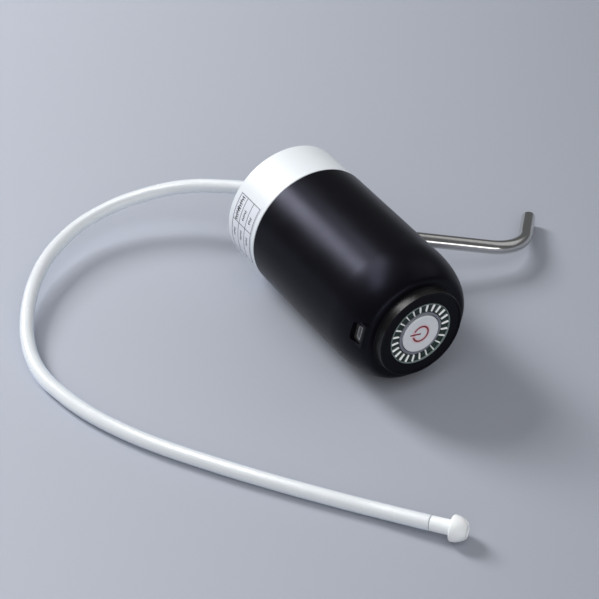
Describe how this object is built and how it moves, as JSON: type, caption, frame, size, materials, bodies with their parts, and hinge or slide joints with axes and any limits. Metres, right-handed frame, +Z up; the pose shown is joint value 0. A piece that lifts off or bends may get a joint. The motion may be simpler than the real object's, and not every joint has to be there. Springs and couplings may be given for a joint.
{
  "type": "bottled water pump",
  "caption": "Rechargeable pump for a large water bottle, lying on its side: white neck collar, black casing with a lit ring and button, bent steel spout, clear suction hose with a foot.",
  "frame": {"origin": "on the surface that the pump lies on, under the middle of the pump's own box without its suction hose and foot", "axes": "+X along the pump's own axis from the collar to the button, +Y the way the spout points away, +Z up"},
  "size_m": [0.3083, 0.3007, 0.0728],
  "materials": {
    "black_gloss": "smooth semi-gloss black casing plastic",
    "black_matte": "matte black plastic",
    "white_gloss": "smooth white plastic",
    "white_matte": "plain white moulded plastic",
    "label_paper": "thin satin label paper",
    "clear_silicone": "clear food-grade silicone",
    "milky_silicone": "milky silicone",
    "black_rubber": "black rubber",
    "stainless": "polished stainless steel tube",
    "plain_steel": "zinc-plated steel",
    "copper": "enamelled copper windings on a steel core",
    "brass": "sintered bronze bush",
    "ferrite": "dull ferrite magnet",
    "grey_plastic": "grey moulded plastic",
    "button_grey": "satin silver-grey painted plastic",
    "bezel_grey": "satin grey metallised plastic",
    "clear_plastic": "clear moulded plastic with bright bars",
    "circuit_board": "green solder-masked board",
    "cell_wrap": "blue shrink wrap over a steel can",
    "red_wire": "red wire insulation",
    "black_wire": "black wire insulation"
  },
  "bodies": {
    "pump_body": {"outer_shell": "black_gloss", "bottle_collar": "white_gloss", "collar_gasket": "milky_silicone", "spec_label": "label_paper", "inlet_nipple": "white_matte", "case_screw_1": "plain_steel", "case_screw_2": "plain_steel", "case_screw_3": "plain_steel", "light_ring": "clear_plastic", "button_bezel": "bezel_grey", "ring_reflector": "white_matte", "top_board": "circuit_board", "usb_socket": "stainless", "usb_tongue": "black_matte", "tact_switch": "plain_steel", "led_1": "white_matte", "led_2": "white_matte", "led_3": "white_matte", "led_4": "white_matte", "board_screw_1": "plain_steel", "board_screw_2": "plain_steel", "board_screw_3": "plain_steel", "inner_frame": "grey_plastic", "inlet_tube": "milky_silicone", "pump_cover": "white_matte", "valve_plate": "white_matte", "inlet_valve_1": "black_rubber", "inlet_valve_2": "black_rubber", "inlet_valve_3": "black_rubber", "outlet_valve": "black_rubber", "diaphragm": "black_rubber", "pump_housing": "white_matte", "pump_screw_1": "plain_steel", "pump_screw_2": "plain_steel", "pump_screw_3": "plain_steel", "motor_can": "plain_steel", "motor_end_cap": "black_matte", "magnet_1": "ferrite", "magnet_2": "ferrite", "bush_lower": "brass", "bush_upper": "brass", "battery_cell": "cell_wrap", "motor_wire_1": "red_wire", "motor_wire_2": "black_wire", "battery_wire_1": "red_wire", "battery_wire_2": "black_wire", "outlet_tube": "milky_silicone", "spout_socket": "black_gloss", "suction_hose": "clear_silicone", "hose_foot": "white_gloss"},
    "button": {"button_cap": "button_grey", "tact_plunger": "black_matte"},
    "rotor": {"motor_shaft": "plain_steel", "armature": "copper", "commutator": "copper", "eccentric": "white_matte", "crank_pin": "plain_steel"},
    "rocking_plate": {"wobble_plate": "white_matte"},
    "spout_ring": {"spout_seal": "black_rubber"},
    "spout_tube": {"spout": "stainless"}
  },
  "joints": [
    {"name": "button_press", "type": "slide", "parent": "pump_body", "child": "button", "axis": [-1, 0, 0], "range_m": [0, 0.0005], "stiffness_N_per_m": 1500, "springref_m": -0.0005},
    {"name": "motor_spin", "type": "hinge", "parent": "pump_body", "child": "rotor", "pos_m": [-0.0194, -0.05678, 0.04129], "axis": [1, 0, 0], "continuous": true},
    {"name": "plate_rock", "type": "hinge", "parent": "rotor", "child": "rocking_plate", "pos_m": [-0.0194, -0.05678, 0.04129], "axis": [0.9945, 0.1016, -0.0244], "continuous": true},
    {"name": "spout_turn", "type": "hinge", "parent": "pump_body", "child": "spout_ring", "pos_m": [-0.0226, -0.01372, 0.02787], "axis": [0.4226, 0.8813, -0.2116], "continuous": true},
    {"name": "spout_pull", "type": "slide", "parent": "spout_ring", "child": "spout_tube", "axis": [0.4226, 0.8813, -0.2116], "range_m": [0, 0.011]}
  ],
  "couplings": [
    {"joint": "plate_rock", "follows": "motor_spin", "ratio": -1}
  ]
}
